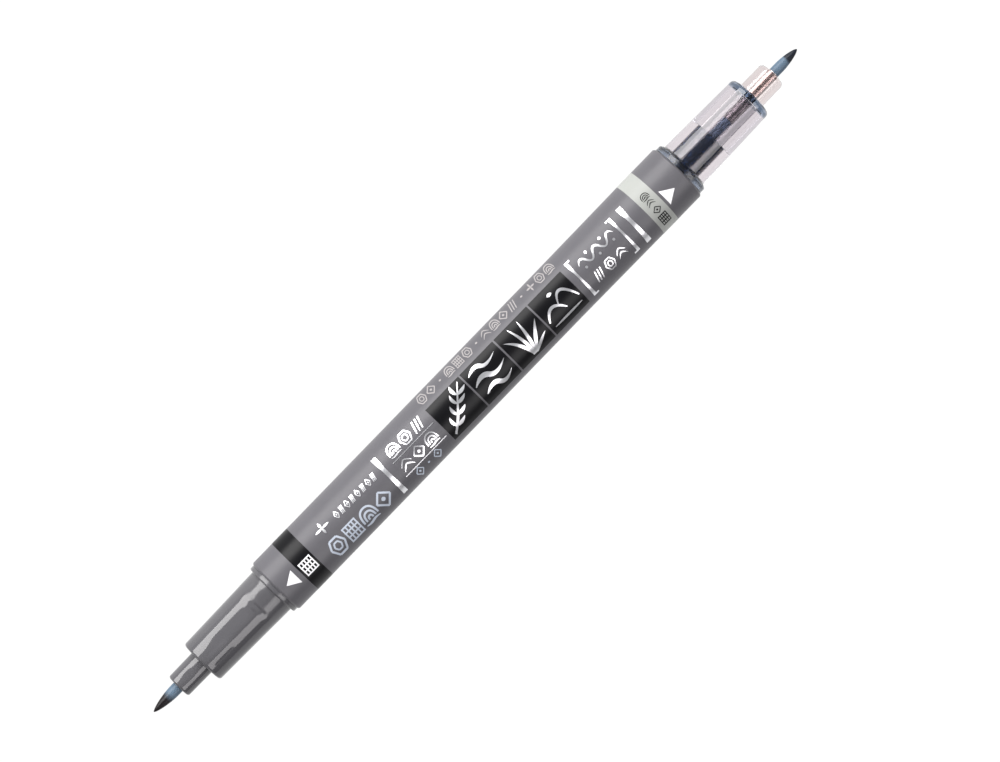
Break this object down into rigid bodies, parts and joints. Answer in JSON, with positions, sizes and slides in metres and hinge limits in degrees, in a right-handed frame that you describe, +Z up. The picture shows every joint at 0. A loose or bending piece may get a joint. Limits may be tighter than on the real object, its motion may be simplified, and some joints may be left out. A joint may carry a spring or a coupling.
{
  "type": "calligraphy marker",
  "caption": "Double-ended brush pen with caps off: a grey printed barrel, an opaque and a clear tapered section, and a flexible brush tip at each end.",
  "frame": {"origin": "bottom of the barrel, halfway between the two brush points", "axes": "+X along the pen towards the clear grey-ink end, +Z up through the printed side of the barrel"},
  "size_m": [0.157, 0.0112, 0.0113],
  "materials": {
    "barrel_plastic": "satin moulded polypropylene with printed bands",
    "section_plastic": "glossy moulded, slightly sunk surface",
    "clear_resin": "clear, polished",
    "sleeve_metal": "drawn thin tube, bright",
    "black_nib_elastomer": "matt elastomer stained by black ink, blue-grey at its root",
    "grey_nib_elastomer": "matt elastomer stained by grey ink, darker at its point",
    "black_ink_fibre": "ink-soaked fibre bundle",
    "grey_ink_fibre": "ink-soaked fibre bundle",
    "clear_film": "thin clear film",
    "partition_plastic": "natural moulded"
  },
  "bodies": {
    "pen": {"barrel_tube": "barrel_plastic", "centre_partition": "partition_plastic", "black_section_shell": "section_plastic", "black_nib_sleeve": "sleeve_metal", "black_nib_stem": "black_nib_elastomer", "black_ink_reservoir": "black_ink_fibre", "black_reservoir_film": "clear_film", "grey_section_shell": "clear_resin", "grey_nib_sleeve": "sleeve_metal", "grey_nib_stem": "grey_nib_elastomer", "grey_ink_reservoir": "grey_ink_fibre", "grey_reservoir_film": "clear_film"},
    "black_tip": {"black_brush_tip": "black_nib_elastomer"},
    "grey_tip": {"grey_brush_tip": "grey_nib_elastomer"}
  },
  "joints": [
    {"name": "black_tip_flex", "type": "hinge", "parent": "pen", "child": "black_tip", "pos_m": [-0.07295, 0, 0.00563], "axis": [0, 0, 1], "range_deg": [-25, 25], "stiffness_Nm_per_rad": 0.008},
    {"name": "grey_tip_flex", "type": "hinge", "parent": "pen", "child": "grey_tip", "pos_m": [0.07324, 0, 0.00563], "axis": [0, 0, 1], "range_deg": [-25, 25], "stiffness_Nm_per_rad": 0.008}
  ]
}
